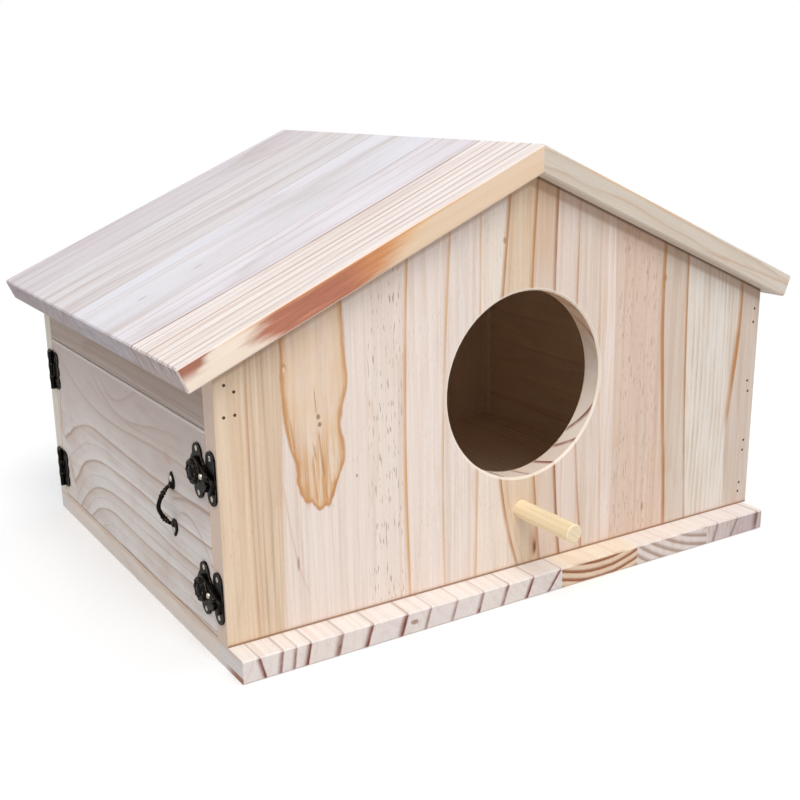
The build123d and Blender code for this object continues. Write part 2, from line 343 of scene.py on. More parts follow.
    def dress(self, node, end_colour, end_amount=0.75, rough=0.62):
        """Closes the material and puts it on a node."""
        if end_colour:
            self.end_grain(end_colour, end_amount)
        height = self.total(self.times(self.fine, 0.5), self.times(self.late, 0.35))
        bump = {"Strength": 0.35, "Distance": 0.00018, "Height": height}
        worn = self.span(self.fine, 0.2, 0.8, rough - 0.08, rough + 0.1, "LINEAR")
        shader = {"Base Color": self.colour, "Roughness": worn, "Specular IOR Level": 0.3}
        slots = nodes[node].data.materials
        slots.clear()
        slots.append(self.surface(shader, bump))


# The t of the roof's outer face, and what makes its g the distance from the ridge.
ROOF_FACE = RIDGE_TOP * math.cos(PITCH)
ROOF_START = RIDGE_TOP * math.sin(PITCH)

X, Y, Z = (1, 0, 0), (0, 1, 0), (0, 0, 1)
UP_LEFT = (-math.cos(PITCH), 0, -math.sin(PITCH))
UP_RIGHT = (math.cos(PITCH), 0, -math.sin(PITCH))
BROWN = (180, 126, 76)
ORANGE = (208, 158, 104)
DARK = (146, 92, 54)
PINK = (206, 176, 162)
# Painted light: the chamber's faces are painted lighter and warmer than the outside, standing in for light
# that bounces inside the chamber.
CHAMBER_LIT_TINT = (255, 226, 194)
CHAMBER_LIT_PALE = (255, 232, 205)

# Front wall: upright strips, late-wood lines and the tongue-shaped figure.
straw_edge = [(-158.7, 143), (-159, 109), (-158.1, 16)]
tan_edge = [(-141.2, 141), (-143.3, 82), (-145.2, 15)]
lines = {
    "a": [(-74.2, 152), (-75, 90), (-73.5, 18)],
    "b": [(-48.6, 192), (-52.3, 105), (-51.7, 17)],
    "c": [(-30, 201), (-31.2, 68), (-32.3, 16)],
    "d": [(-12.4, 209), (-16.2, 161), (-16, 64), (-6.3, 20)],
    "e": [(5.3, 216), (2.7, 163), (6.6, 60), (10.8, 16)],
    "f": [(18.5, 211), (17.6, 160), (20.3, 65), (25.1, 14)],
    "g": [(33.4, 204), (33, 153), (35, 74), (38, 36)],
    "h": [(48.6, 193), (49.5, 134), (52.1, 71), (54.4, 19)],
    "pale": [(58.5, 190), (60.5, 120), (61.3, 14)],
    "i": [(96.6, 178), (97.2, 128), (100.5, 79), (105.1, 17)],
    "j": [(114.4, 170), (116, 111), (120.2, 38)],
    "k": [(159.4, 150), (159.2, 120), (153.7, 70), (156.1, 16)],
}
front = Board("wood_front_wall", X, Z, 1, None, HALF_DEPTH)
front.strips(
    [straw_edge, tan_edge, *lines.values()],
    [
        (232, 211, 186), (230, 207, 182), (239, 226, 217), (242, 229, 221), (239, 227, 219),
        (239, 226, 214), (229, 209, 186), (226, 206, 190), (233, 216, 205), (231, 218, 208),
        (238, 224, 215), (225, 203, 187), (220, 206, 194), (232, 225, 217), (214, 199, 186),
    ],
)
front.paint_chamber_light(-1)
front.grain(rings=0.16, spacing=6, near=20, streaks=0.12, dashes=0.3)
tan_zone = front.within(front.a, (-159, -156), (-142.5, -145.5))
smoke = front.noise(front.spread(0.5, 0.006, 0.5, 44), 1, 4, 0.65)
front.mark((184, 160, 132), tan_zone, front.span(smoke, 0.42, 0.66, 0, 0.7))
front.mark((206, 178, 144), front.across(-158, -160), front.span(smoke, 0.45, 0.7, 0, 0.25))
for low, high, amount, colour, fine, length in (
    ((-99, -94), (-75, -79), 0.75, (158, 128, 112), 1.3, 0.14),
    ((60, 64), (97, 92), 0.55, (160, 120, 100), 1.4, 0.15),
):
    front.dashes(front.times(front.within(front.a, low, high), amount), colour, fine, length, 0.62, 0.72)
low_smoke = front.span(smoke, 0.45, 0.75, 0, 0.5)
front.mark((206, 172, 148), front.within(front.a, (62, 68), (97, 90)), low_smoke)
front.comb(34, 60, 3.9, 0.55, (208, 176, 148))
front.comb(118, 157, 3.4, 0.75, (196, 176, 152))
front.comb(98, 115, 4.2, 0.35, (200, 172, 148))
front.comb(-12, 18, 3.6, 0.35, (206, 168, 130), front.along(150, 185))
front.comb(-74, -36, 6.2, 0.25, (214, 186, 164))
front.mark((208, 172, 138), front.across(0, 12), front.across(22, 10), front.along(160, 190, 0, 0.5))


def rim_curve(place, low, high, base, reach, points):
    """A rim through measured points (place, rim), for places from low to high and rims from base up to
    base + reach."""
    node = front.add("FloatCurve")
    front.feed(node.inputs["Value"], front.span(place, low, high, kind="LINEAR"))
    curve = node.mapping.curves[0]
    while len(curve.points) < len(points):
        curve.points.new(0.5, 0.5)
    for handle, (along, across) in zip(curve.points, points):
        handle.location = ((along - low) / (high - low), (across - base) / reach)
    node.mapping.update()
    return front.scaled(node.outputs[0], reach, base)


low_side = rim_curve(
    front.g, 60, 180, -150, 60,
    [
        (70, -132), (76.5, -132.3), (79.2, -133.6), (83.2, -134.6), (86.2, -135.9), (90.9, -135.7),
        (94.9, -135.8), (99.2, -137.3), (102.6, -138.5), (108.9, -139.7), (114, -140.8), (122, -141.5),
        (135, -142), (146, -142), (180, -140),
    ],
)
high_side = rim_curve(
    front.g, 60, 180, -150, 60,
    [(70, -117), (72.9, -117.5), (76.3, -116.5), (80, -114.9), (82.6, -114), (85.8, -112.1), (90.2, -110.8),
     (96.8, -109.7), (102.3, -110.1), (107.8, -111.1), (117, -110.7), (124, -108.8), (132, -107.4),
     (140, -107.8), (180, -110)],
)
lowest = rim_curve(
    front.a, -140, -110, 60, 40,
    [
        (-136, 84), (-133.6, 79.2), (-132.3, 76.5), (-130.6, 75), (-129.2, 75.2), (-128, 75),
        (-127.2, 73), (-125, 70.7), (-123.5, 70.4), (-121.1, 71.3), (-118.8, 71.5), (-117.5, 72.9),
        (-116.3, 76), (-114, 82),
    ],
)
from_left = front.less(front.a, low_side)
from_right = front.less(high_side, front.a)
from_tip = front.times(front.less(front.g, lowest), 0.8)
rag = front.noise(front.spread(0.3, 0.09, 0.3, 51), 1, 3, 0.55)
rag = front.scaled(rag, 2.4, -1.2)
inside = front.math("MINIMUM", front.math("MINIMUM", from_left, from_right), from_tip)
inside = front.total(front.times(front.fuzz, 1.2), rag, inside)
lick = front.noise(front.spread(0.42, 0.014, 0.42, 63), 1, 4, 0.65, 0.6)
blotch = front.noise(front.spread(0.12, 0.07, 0.12, 66), 1, 3, 0.6)
front.mark((230, 199, 163), front.span(inside, -0.1, 0.9), front.span(blotch, 0.3, 0.65, 0.38, 0.72))
low = front.span(front.along(118, 88), 0, 1, 0.25, 0.95, "LINEAR")
front.mark((208, 157, 104), front.span(lick, 0.44, 0.64), front.span(inside, 0, 1), low)
halo = front.times(front.span(inside, -0.2, 0.5), front.span(inside, 0.8, 4.6, 1, 0))
front.mark((212, 160, 106), halo, front.span(lick, 0.3, 0.7, 0.3, 0.85))
rim = front.times(front.span(inside, -0.8, 0.5), front.span(inside, 0.6, 2.4, 1, 0))
front.mark((188, 130, 78), rim, front.span(front.broken, 0.3, 0.6, 0.4, 0.9))
flame = front.times(
    front.span(from_left, -0.2, 0.8), front.span(from_left, 2, 12, 1, 0),
    front.within(front.g, (70, 80), (128, 100)),
)
front.mark((200, 146, 94), flame, front.span(lick, 0.35, 0.6, 0.2, 0.7))
for points, soft, hard, strength, colour, *fades in (
    ([(-126.6, 98), (-126, 87), (-124.9, 74)], 1.9, 0.6, 0.95, (206, 142, 82), (72, 78), (101, 93)),
    ([(-126.1, 103), (-125.4, 98)], 0.9, 0.5, 0.7, DARK, (94, 98), (105, 101)),
    ([(-123, 109), (-121.9, 96), (-120.4, 86)], 1.3, 0.6, 0.75, BROWN, (84, 90), (112, 106)),
    ([(-120.1, 84), (-119.9, 77), (-118.8, 72)], 1, 0.6, 0.6, BROWN, (72, 75), (86, 80)),
    ([(-137.4, 113), (-136.2, 103)], 0.9, 0.5, 0.7, BROWN, (101, 104), (120, 112)),
    ([(-124.9, 129), (-124.2, 119)], 0.8, 0.4, 0.6, DARK, (117, 120), (132, 127)),
):
    front.line(points, soft, hard, strength, colour, sway=0.2, fades=fades)
below_tip = [(-142.7, 84.5), (-139.4, 61.4), (-135.8, 42.8), (-132.4, 32.4)]
front.line(below_tip, 1.4, 0.5, 0.5, PINK, fades=[(26, 34), (92, 80)])
front.spots(
    (-136.6, 45.5, 0.9, 5, 0.6, (150, 112, 96)),
    (-140.2, 142, 1.5, 3.2, 0.85, (190, 138, 96)),
    (-140.1, 141.2, 0.9, 2, 0.9, (236, 208, 182)),
    (-123.3, 116.4, 1.5, 1.9, 0.7, (120, 84, 62)),
    (-122.7, 112.6, 1.3, 1.7, 0.75, (112, 76, 56)),
    (-103.4, 83.6, 0.7, 1.2, 0.7, (140, 104, 92)),
    (6.4, 23, 3.4, 13, 0.6, (186, 128, 92), 0.5, 0.1),
    (7.2, 20.5, 1.7, 6.5, 0.9, (104, 64, 48), 0.5, 0.2),
    (86.5, 27.5, 1, 4.2, 0.7, (150, 104, 80)),
    (96.4, 160.5, 1.5, 2.6, 0.7, (160, 108, 76)),
    (-15.6, 190, 1.3, 2.4, 0.7, (160, 108, 76)),
)
for name, soft, hard, strength, colour, *fades in (
    ("a", 2.6, 0.5, 0.95, ORANGE),
    ("b", 2.2, 0.5, 0.75, ORANGE),
    ("c", 2.1, 0.5, 0.65, ORANGE),
    ("d", 3, 0.5, 0.95, BROWN),
    ("e", 3, 0.5, 0.95, BROWN),
    ("f", 2.8, 0.6, 1, DARK),
    ("g", 2.3, 0.5, 0.8, BROWN),
    ("h", 2, 0.8, 0.4, ORANGE),
    ("i", 3.4, 0.6, 1, BROWN),
    ("j", 2.4, 0.5, 0.85, BROWN),
    ("k", 4.6, 0.9, 1, BROWN, (52, 78)),
):
    front.line(lines[name], soft, hard, strength, colour, 0.3, 0.7, ord(name), fades)
front.line(straw_edge, 2, 0.5, 0.62, BROWN, 0.3, 0.7)
for name, shift, soft, strength, *fades in (
    ("k", -0.6, 4.2, 0.8, (62, 76), (124, 119)),
    ("k", -0.4, 2.6, 0.7, (118, 121), (153, 148)),
    ("i", 0.9, 2.4, 0.75),
    ("j", 0.5, 1.6, 0.4, (30, 60)),
    ("f", 0.4, 1.4, 0.4),
):
    offset = front.total(front.course(lines[name], 0.3, 0.7, ord(name)), shift)
    front.stroke(offset, soft, 0.9, strength, BROWN, front.within(front.g, *fades) if fades else None)
front.line([(-162.2, 143), (-162.6, 109), (-161.5, 16)], 1.2, 0.8, 0.3, ORANGE)
front.line([(90, 60), (90.1, 14)], 1.2, 0.5, 0.45, ORANGE, fades=[(72, 40)])
front.line([(-10, 209), (-13, 161), (-12.5, 64), (-2, 20)], 1.4, 0.5, 0.35, ORANGE, 0.3, 1.2, 2)
front.line([(60.5, 120), (61.3, 14)], 1.8, 0.6, 0.3, PINK, fades=[(150, 100)])
# A dark joint line at the wall's foot, with painted contact shade fading up to 3.5 mm above the floor.
front.mark((200, 158, 122), front.along(15.5, 12.3), front.turned(Y), 0.4)
front.mark((132, 92, 64), front.along(13.5, 12.7), front.turned(Y), 0.75)
below_roof = front.times(front.math("ABSOLUTE", front.a), -math.sin(PITCH))
below_roof = front.scaled(front.less(RIDGE_BELOW, front.g), math.cos(PITCH), below_roof)
outer = front.times(front.turned(Y), front.deep(-2, -1))
# Painted shade on the outer face: a brown band 4.6 to 7.2 mm below the roof joint stands in for the shadow
# of the roof's overhang; the thin dark line at the joint is a dark joint with painted contact shade.
front.mark((150, 112, 82), outer, front.span(below_roof, 7.2, 4.6), 0.5)
front.mark((100, 72, 52), outer, front.span(below_roof, 1.8, 0.7), 0.75)
from_hole = front.oval(0, 113, 1, 1, 0)
bore = front.times(front.span(from_hole, 50.4, 50.1), front.span(front.turned(Y, 0.4, 0.6), 1, 0))
bore = front.times(bore, front.deep(-11.9, -11))
# Painted light and shade in the bore: near white towards its bottom, which faces up into the light, and tan
# towards its top, over the wood's colour.
front.mark((255, 241, 226), bore, front.along(142, 95, 0, 0.92))
bore_lines = ((-30.5, 0.3), (-13, 0.35), (4.5, 0.4), (20.5, 0.45), (36, 0.6), (47.5, 0.8), (-45, 0.2))
for place, lean in bore_lines:
    front.line([(place, 0)], 2.8, 0.9, 1, (150, 84, 58), lean, 0.8, int(place), (), bore)
# Tan towards the bore's top: part of the bore's painted shade.
front.mark((226, 186, 148), bore, front.along(118, 150, 0, 0.7))
# Painted highlight: a pale ring on the chamfer round the hole.
arris = front.times(front.within(from_hole, (51.6, 51.1)), front.turned(Y, 0.4, 0.6))
front.mark((250, 238, 222), arris, 0.7)
front.mark(CHAMBER_LIT_PALE, front.room, 0.45)
side_edge = front.times(front.turned(X), front.span(front.math("ABSOLUTE", front.a), 160, 165))
front.mark((217, 194, 181), side_edge, 0.75)
front.dress("front_wall", (238, 224, 218), 0.6)

# Back wall: plain upright strips.
back = Board("wood_back_wall", X, Z, 2, None, -HALF_DEPTH)
back.strips(
    [
        [(-118, 0), (-117, 150)], [(-61, 0), (-60.5, 150)], [(2, 0), (1, 150)], [(58, 0), (59.5, 150)],
        [(116, 0), (115.5, 150)],
    ],
    [(232, 230, 220), (236, 221, 207), (229, 208, 188), (238, 221, 206), (230, 212, 190), (233, 214, 200)],
)
back.paint_chamber_light(1)
back.grain(rings=0.42, spacing=6.5, near=18, dashes=0.4)
for place, strength, colour in (
    (-118, 0.6, BROWN), (-60.7, 0.5, ORANGE), (1.5, 0.55, BROWN), (59, 0.5, ORANGE), (115.7, 0.6, BROWN),
):
    back.line([(place, 10), (place + 1, 120)], 1.5, 0.4, strength, colour, 0.3, 1.2, int(place))
back.mark(CHAMBER_LIT_PALE, back.room, 0.4)
back.dress("back_wall", (236, 222, 214))

# Right wall: strips lie level.
right = Board("wood_right_wall", Z, Y, 3, None, -HALF_WIDTH)
right.strips(
    [[(24, -100), (25, 100)], [(71, -100), (70, 100)], [(117, -100), (118, 100)]],
    [(238, 222, 208), (231, 211, 194), (236, 218, 203), (227, 205, 186)],
)
right.paint_chamber_light(1)
right.grain(rings=0.36, spacing=7, near=16, dashes=0.4)
for place, strength in ((24.5, 0.75), (70.5, 0.6), (117.5, 0.55), (46, 0.3), (93, 0.3), (134, 0.3)):
    points = [(place, -100), (place - 0.8, 0), (place + 0.5, 100)]
    right.line(points, 1.4, 0.4, strength, BROWN, 0.3, 2, int(place))
right.mark(CHAMBER_LIT_PALE, right.room, 0.45)
inner_edge = right.times(right.within(right.g, (117, 119)), right.room)
right.mark((255, 242, 218), inner_edge, 0.85)
right.dress("right_wall", (232, 218, 210))

# Rail over the door. Its base tint is darker than the other boards: painted shade from the eave above it.
rail = Board("wood_left_top_rail", Z, Y, 4, (184, 168, 158), HALF_WIDTH)
rail.paint_chamber_light(-1)
rail.grain(rings=0.3, spacing=7, near=30, dashes=0.2, late=(212, 180, 156))
for height, soft, strength, colour in (
    (133, 2.5, 0.45, (150, 128, 114)), (127.5, 1.6, 0.35, (160, 138, 124)),
    (140.5, 2.2, 0.3, (160, 140, 128)), (121.5, 1.2, 0.4, (152, 128, 112)),
    (118.2, 1.6, 0.5, (206, 194, 184)),
):
    points = [(height - 1, -120), (height + 1, 0), (height - 1, 120)]
    rail.line(points, soft, 0.6, strength, colour, 0.2, 1.6, int(height))
rail.dress("left_top_rail", (232, 218, 210))

# Door: arches of late wood that turn down towards the hinges.
door = Board("wood_door", Z, Y, 5, (231, 225, 221), HALF_WIDTH)
mottle = door.noise(door.spread(0.06, 0.03, 0.06, 81), 1, 4, 0.6)
door.mark((216, 200, 192), door.span(mottle, 0.42, 0.66, 0, 0.6))
door.mark((234, 228, 224), door.span(mottle, 0.48, 0.36), 0.5)
door.paint_chamber_light(-1)
door.grain(rings=0.1, spacing=4.5, near=40, streaks=0.12, dashes=0.2, late=(216, 188, 170))
waver = door.total(door.times(door.sway[0], 10), door.times(door.sway[2], 6), door.times(door.fuzz, 0.9))
bend = door.math("MAXIMUM", door.scaled(door.a, -0.42, door.g), 0)
bend = door.times(bend, bend, door.across(66, 92, 0.0037, 0.0004))
low_level = door.total(door.a, bend, waver)
run = door.math("MAXIMUM", door.scaled(door.a, -1.39, door.total(door.g, 60)), 0)
curved = door.math("MINIMUM", run, 68)
bend = door.scaled(door.less(run, curved), 0.34, door.times(curved, curved, 0.0025))
high_level = door.total(door.a, bend, waver)
valley = door.span(door.scaled(door.a, -0.414, door.g), 90.4, 89)
door_line = (156, 118, 92)
door_haze = (200, 172, 154)
door_pale = (242, 234, 230)
for height, soft, hard, strength in (
    (14.5, 1.3, 0.5, 0.5), (21.5, 0.9, 0.6, 0.16), (30, 1.4, 0.5, 0.6), (36, 0.9, 0.6, 0.18),
    (41.5, 1.5, 0.5, 0.65), (48.5, 0.9, 0.7, 0.2), (57.5, 1.7, 0.5, 0.8), (65.5, 1, 0.7, 0.2),
    (74.2, 1.9, 0.5, 0.85),
):
    shown = door.across(100, 90)
    if height > 50:
        level = high_level
        shown = door.times(shown, valley)
    else:
        level = low_level
    offset = door.less(level, height)
    door.stroke(offset, soft, hard, strength, door_line, shown)
    if strength > 0.45:
        door.stroke(door.total(offset, 0.4), 6.5, 0.8, 0.42, door_haze, shown)
    door.stroke(door.less(level, height + 1.6), 1.4, 3.5, 0.4 * strength, door_pale, shown)

# Two of its lines turn back up at the hinges: g rises with a, up to a limit.
for rise, start, lean, limit, low, high, strength in (
    (1.5, 33.6, -0.15, 126.9, (49.6, 51.4), (96, 72), 0.75),
    (0.53, 86, 0.53, 86, (26.2, 27.6), (44, 32), 0.7),
):
    back_up = door.math("MINIMUM", door.scaled(door.a, rise, start), door.scaled(door.a, lean, limit))
    offset = door.scaled(door.fuzz, 1.2, door.less(door.g, back_up))
    shown = door.within(door.a, low, high)
    door.stroke(offset, 1.6, 1.1, strength, door_line, shown)
    door.stroke(offset, 6, 3, 0.5 * strength, door_haze, shown)
for points, soft, hard, strength in (
    ([(113, 31), (105, 21), (104.5, -7.5), (116, -54)], 2, 0.6, 0.75),
    ([(111.5, 45), (101, 26), (94, 3), (97, -32), (102.8, -71), (103, -96)], 2.4, 0.6, 0.8),
    ([(114, 74), (106, 58), (98.5, 30), (90.5, 2), (92, -30), (97, -66), (96, -100)], 1.6, 0.7, 0.35),
    ([(108, 110), (101, 92), (92.4, 60), (86, 20), (85.5, -12), (90, -40), (91.5, -78), (87, -112)],
     2, 0.7, 0.6),
):
    ends = door.within(
        door.g, (points[-1][1] - 6, points[-1][1] + 14), (points[0][1] + 6, points[0][1] - 8),
    )
    offset = door.total(door.course(points, 0, 1.6, len(points)), door.times(door.fuzz, 1.2))
    door.stroke(offset, soft, hard, strength, door_line, ends)
    door.stroke(door.total(offset, 0.4), 6, 0.8, 0.55 * strength, door_haze, ends)
    door.stroke(door.less(offset, 1.2), 1.4, 3, 0.3 * strength, door_pale, ends)
door.spots(
    (107, -38, 3.4, 15, 0.55, (176, 128, 102), 1.2, 0.1),
    (89.5, -71, 5, 9, 0.6, (186, 140, 118), 1.4, 0.1),
    (110.5, -15.5, 1.3, 1.6, 0.8, (110, 88, 78)),
)
door.line([(70, -78), (75, -104), (75.5, -121)], 2.8, 0.8, 0.55, door_line, 0, 1, 1, [(-66, -82)])
door.line([(64, -84), (62.7, -104), (53, -117)], 2.2, 0.7, 0.45, door_line, 0, 1, 2, [(-74, -92)])
# Painted shade: the door darkens towards its top, under the eave.
door.mark((193, 176, 168), door.across(48, 112, 0, 0.76))
# Painted highlight: a pale line along the door's top edge.
door.mark((244, 236, 230), door.across(113.4, 114.2), 0.6)
door.mark(CHAMBER_LIT_PALE, door.room, 0.45)
door.dress("door", (232, 216, 208))

# Floor: strips run front to back; their ends show the rings.
floor = Board("wood_floor_board", X, Y, 6, None, BOARD)
floor.strips(
    [[(-112, 0)], [(-47.5, 0)], [(15, 0)], [(69, 0)], [(125, 0)]],
    [(243, 237, 232), (241, 235, 230), (243, 237, 232), (243, 230, 211), (241, 233, 227), (238, 230, 226)],
)
room = floor.within(floor.g, (-124, -121), (124, 121))
# Painted light: the chamber's part of the floor is painted lighter and warmer.
floor.mark(CHAMBER_LIT_TINT, room, floor.within(floor.a, (-165, -162), (165, 162)), 0.75)
floor.mark((244, 220, 190), floor.within(floor.a, (13, 15), (70, 68)), floor.ends, 0.7)
floor.grain(rings=0.14, spacing=6, near=30, streaks=0.08, dashes=0.12)
floor.mark((206, 160, 118), room, floor.late, 0.25, kind="MULTIPLY")
floor.mark(CHAMBER_LIT_PALE, room, 0.35)
red = (122, 46, 20)
ring_mask = floor.span(floor.ends, 0, 1, 0.42, 1, "LINEAR")
narrow = floor.span(floor.ends, 0, 1, 1.9, 1, "LINEAR")
for top, lean, soft, hard, strength in (
    (-166.5, -0.26, 2.8, 0.9, 1), (-154.2, 0.15, 3, 0.9, 1), (-147.1, 0.14, 2.4, 0.8, 0.8),
    (-139.3, 0.21, 3.2, 0.9, 1), (-121.8, 0.25, 4.2, 1.2, 1), (-105, 0.33, 3.6, 1.1, 1),
    (-85, 0.34, 4.2, 1.2, 1), (-71, 0.3, 2.4, 0.9, 0.7), (-54.6, 0.33, 2.6, 0.9, 0.8),
    (-38.2, 0.3, 3, 1, 0.95), (-22, 0.35, 3.2, 1, 1), (-5.2, 0.42, 3.2, 1, 1),
    (13.6, 0.75, 2.8, 0.8, 1), (134.5, 0.3, 3.2, 0.8, 0.7), (151.8, 0.5, 2.6, 0.8, 0.7),
    (168.2, 0.1, 4.6, 1, 1),
):
    sway, colour = (0.5, red) if top < 100 else (0.8, (118, 78, 60))
    offset = floor.times(floor.course([(top, 0)], lean, sway, int(top)), narrow)
    floor.stroke(offset, soft, hard, strength, colour, ring_mask)


def ring_ends(low, high, heart_a, heart_t, pitch, start, colour, strength):
    """Rings about a heart, in one strip between two places across the floor."""
    from_a = floor.less(floor.a, heart_a)
    from_t = floor.less(floor.t, heart_t)
    away = floor.length(from_a, from_t)
    away = floor.total(away, floor.times(floor.sway[0], 3), floor.times(floor.fuzz, 0.5))
    turn = floor.math("FRACT", floor.math("DIVIDE", floor.less(away, start), pitch))
    wave = floor.ramp(
        turn, [(0, 0.9), (0.12, 0.15), (0.3, 0), (0.55, 0.1), (0.75, 0.75), (0.95, 1), (1, 0.9)],
    )
    edge = floor.within(floor.a, (low - 0.3, low + 0.3), (high + 0.3, high - 0.3))
    floor.mark(colour, wave, edge, floor.ends, strength)


ring_ends(14, 69, 41, 85, 4.65, 75.6, (150, 84, 40), 1)
ring_ends(69, 125, 140, 110, 5.3, 121, (146, 112, 84), 0.72)
floor.mark((224, 217, 219), floor.ends, floor.across(105, 160), kind="MULTIPLY")
knot_a = floor.math("DIVIDE", floor.total(floor.a, 81.4), 2.6)
knot_t = floor.math("DIVIDE", floor.less(floor.t, 6.4), 1.5)
knot = floor.total(floor.length(knot_a, knot_t), floor.times(floor.fuzz, 1.6))
knot = floor.span(knot, 0.3, 1.1, 0.75, 0)
floor.mark((150, 106, 76), knot, floor.ends, floor.along(0, -10))
floor_side = floor.turned(X)
under = floor.times(floor.across(-160, -172), floor.span(floor.t, 3.6, 2.4), floor.along(-128, -142))
floor.mark((160, 104, 72), under, floor_side, 0.9)
floor.mark((241, 241, 244), floor_side, kind="MULTIPLY")
floor.mark((206, 164, 134), floor_side, floor.span(floor.t, 9.5, 11.6), 0.45)
floor.comb(125, 172, 3.6, 0.55, (160, 140, 130), floor.ends)
floor.dress("floor_board", (242, 238, 240), 0.8)

# Roof: strips run from ridge to eave.
roof = Board("wood_roof_left", Y, UP_LEFT, 7, None, ROOF_FACE)
seam = [(-88.6, 117), (-92.6, 20), (-91, -94)]
roof.strips(
    [seam, [(-58, 117), (-48, -90)], [(3.4, 117), (17, -75)], [(81, 115), (93, -80)]],
    [(247, 239, 236), (236, 232, 239), (230, 229, 236), (224, 220, 223), (217, 211, 216)],
)
roof.grain(rings=0.45, spacing=9, near=60, streaks=0.14, dashes=0.2, late=(206, 190, 180))
tan = (192, 164, 146)
grey_tan = (182, 164, 150)
front_lines = [([(top, 117), (middle, 0), (foot, -94)], *rest) for top, middle, foot, *rest in (
    (-95.5, -97.5, -96, 2.2, 0.6, 0.6, tan),
    (-101, -102.5, -101, 1.8, 0.6, 0.6, tan),
    (-107.5, -108.5, -107, 2.6, 0.5, 0.9, (178, 144, 124)),
    (-114, -114.5, -113.5, 1.8, 0.6, 0.6, tan),
    (-120.5, -121, -120, 2.2, 0.5, 0.8, tan),
    (-127.5, -127, -126.5, 2, 0.6, 0.6, tan),
    (-133.5, -133, -133.5, 2.2, 0.5, 0.85, (182, 150, 132)),
    (-139.5, -139, -139.5, 1.8, 0.6, 0.5, tan),
)]
other_lines = [([(top, high), (foot, low)], *rest, grey_tan) for top, high, foot, low, *rest in (
    (-76, 117, -70, -90, 5, 1.5, 0.3), (-66, 117, -58, -90, 3, 0.8, 0.45),
    (-58, 117, -48, -90, 4, 0.8, 0.55), (-16, 117, -8, -90, 5, 1.5, 0.25),
    (3.4, 117, 17, -75, 3.5, 0.8, 0.5), (22, 117, 33, -75, 5, 1.5, 0.35),
    (39, 117, 50, -75, 4, 1, 0.35), (58, 117, 68, -75, 5, 1.5, 0.3),
    (81, 115, 93, -80, 3.5, 0.8, 0.55), (98, 115, 107, -80, 4, 1, 0.4),
    (113, 115, 121, -80, 4, 1, 0.4), (126, 115, 131, -80, 3, 1, 0.3),
)]
for points, soft, hard, strength, colour in front_lines + other_lines:
    roof.line(points, soft, hard, strength, colour, 0.45, 1.5, int(soft * 7 + points[0][0]))
roof.line(seam, 2, 0.6, 1, (150, 108, 76), 0, 0.6)
roof.line([(a + 4.5, g) for a, g in seam], 1.2, 0.6, 0.5, (190, 160, 136), 0, 1, 1)
roof.spots((-34.7, 56, 1.6, 5, 0.5, (176, 164, 160)), (-34.8, 89.7, 1.8, 4, 0.45, (178, 166, 160)))
roof_inside = roof.times(roof.within(roof.a, (-124, -121), (124, 121)), roof.deep(-11.9, -12.5))
down = roof.total(roof.g, ROOF_START)
# Painted light on the roof's face inside the chamber.
roof.mark(CHAMBER_LIT_PALE, roof_inside, roof.span(down, 182, 176), 0.8)
face = roof.turned(Y)
roof.mark(roof.blend(roof.along(-10, 100), (230, 198, 162), (249, 229, 207)), face, 0.8)
below = roof.times(roof.depth, -1)
ragged = roof.scaled(roof.fuzz, 22, down)
tip = roof.times(roof.math("ABSOLUTE", roof.less(below, 6.5)), 1.8)
start_side = roof.total(ragged, tip)
end_side = roof.scaled(below, -3, ragged)
near_face = roof.times(face, roof.across(100, -100))
stain = roof.times(
    roof.span(start_side, 187, 168), roof.span(end_side, 56, 88), near_face,
    roof.span(below, 0.1, 1),
)
warm = roof.blend(roof.span(down, 82, 106), (236, 194, 144), (210, 138, 84))
warm = roof.blend(roof.span(down, 104, 128), warm, (178, 104, 78))
streak = roof.noise(roof.spread(0.9, 0.03, 0.9, 71), 1, 4, 0.65, 0.5)
warm = roof.blend(roof.span(streak, 0.5, 0.72, 0, 0.55), warm, (214, 152, 118))
warm = roof.blend(roof.span(streak, 0.5, 0.3, 0, 0.5), warm, (150, 78, 54))
roof.mark(warm, stain, 0.93)
edge_glow = roof.times(near_face, roof.span(below, 2.4, 0.8), roof.within(down, (36, 60), (200, 170)))
roof.mark((222, 156, 96), edge_glow, 0.55)
corner = roof.times(
    roof.span(roof.total(ragged, roof.times(below, -1.2)), 190, 200), roof.span(below, 9, 3),
    near_face,
)
roof.mark((160, 92, 68), corner, 0.92)
roof.end_grain((208, 200, 200), 0.9)
stripes = roof.times(roof.ends, roof.across(-86, -94))
roof.comb(-144, -92, 5.2, 0.75, (128, 118, 116), stripes)
roof.dress("roof_left", None)

cover = Board("wood_roof_right", Y, UP_RIGHT, 8, None, -ROOF_FACE)
cover.strips(
    [[(-86, 0), (-84, 100)], [(-20, 0), (-22, 100)], [(41, 0), (43, 100)], [(97, 0), (98, 100)]],
    [(217, 207, 194), (234, 223, 215), (230, 219, 212), (235, 225, 217), (229, 217, 208)],
)
cover.grain(rings=0.4, spacing=6, near=40, streaks=0.12, dashes=0.2)
for place, strength in (
    (-85, 0.7), (-21, 0.5), (42, 0.5), (97.5, 0.55), (-110, 0.4), (-60, 0.3), (15, 0.3), (70, 0.35),
):
    cover.line([(place, -90), (place + 1.5, 110)], 2.4, 0.6, strength, grey_tan, 0.4, 2, int(place))
depth = cover.depth
away = cover.total(cover.g, ROOF_START)
slant = cover.scaled(away, 0.066, cover.less(depth, 19.2))
near_front = cover.across(-120, -138)
cover.stroke(
    cover.total(slant, cover.times(cover.fuzz, 1.5)), 2.4, 0.6, 0.6, (190, 150, 118),
    cover.times(near_front, cover.within(away, (115, 150))),
)
top_line = cover.times(near_front, cover.span(depth, 1.8, 0.4), cover.within(away, (20, 40), (150, 90)))
cover.mark((214, 160, 104), top_line, 0.6)
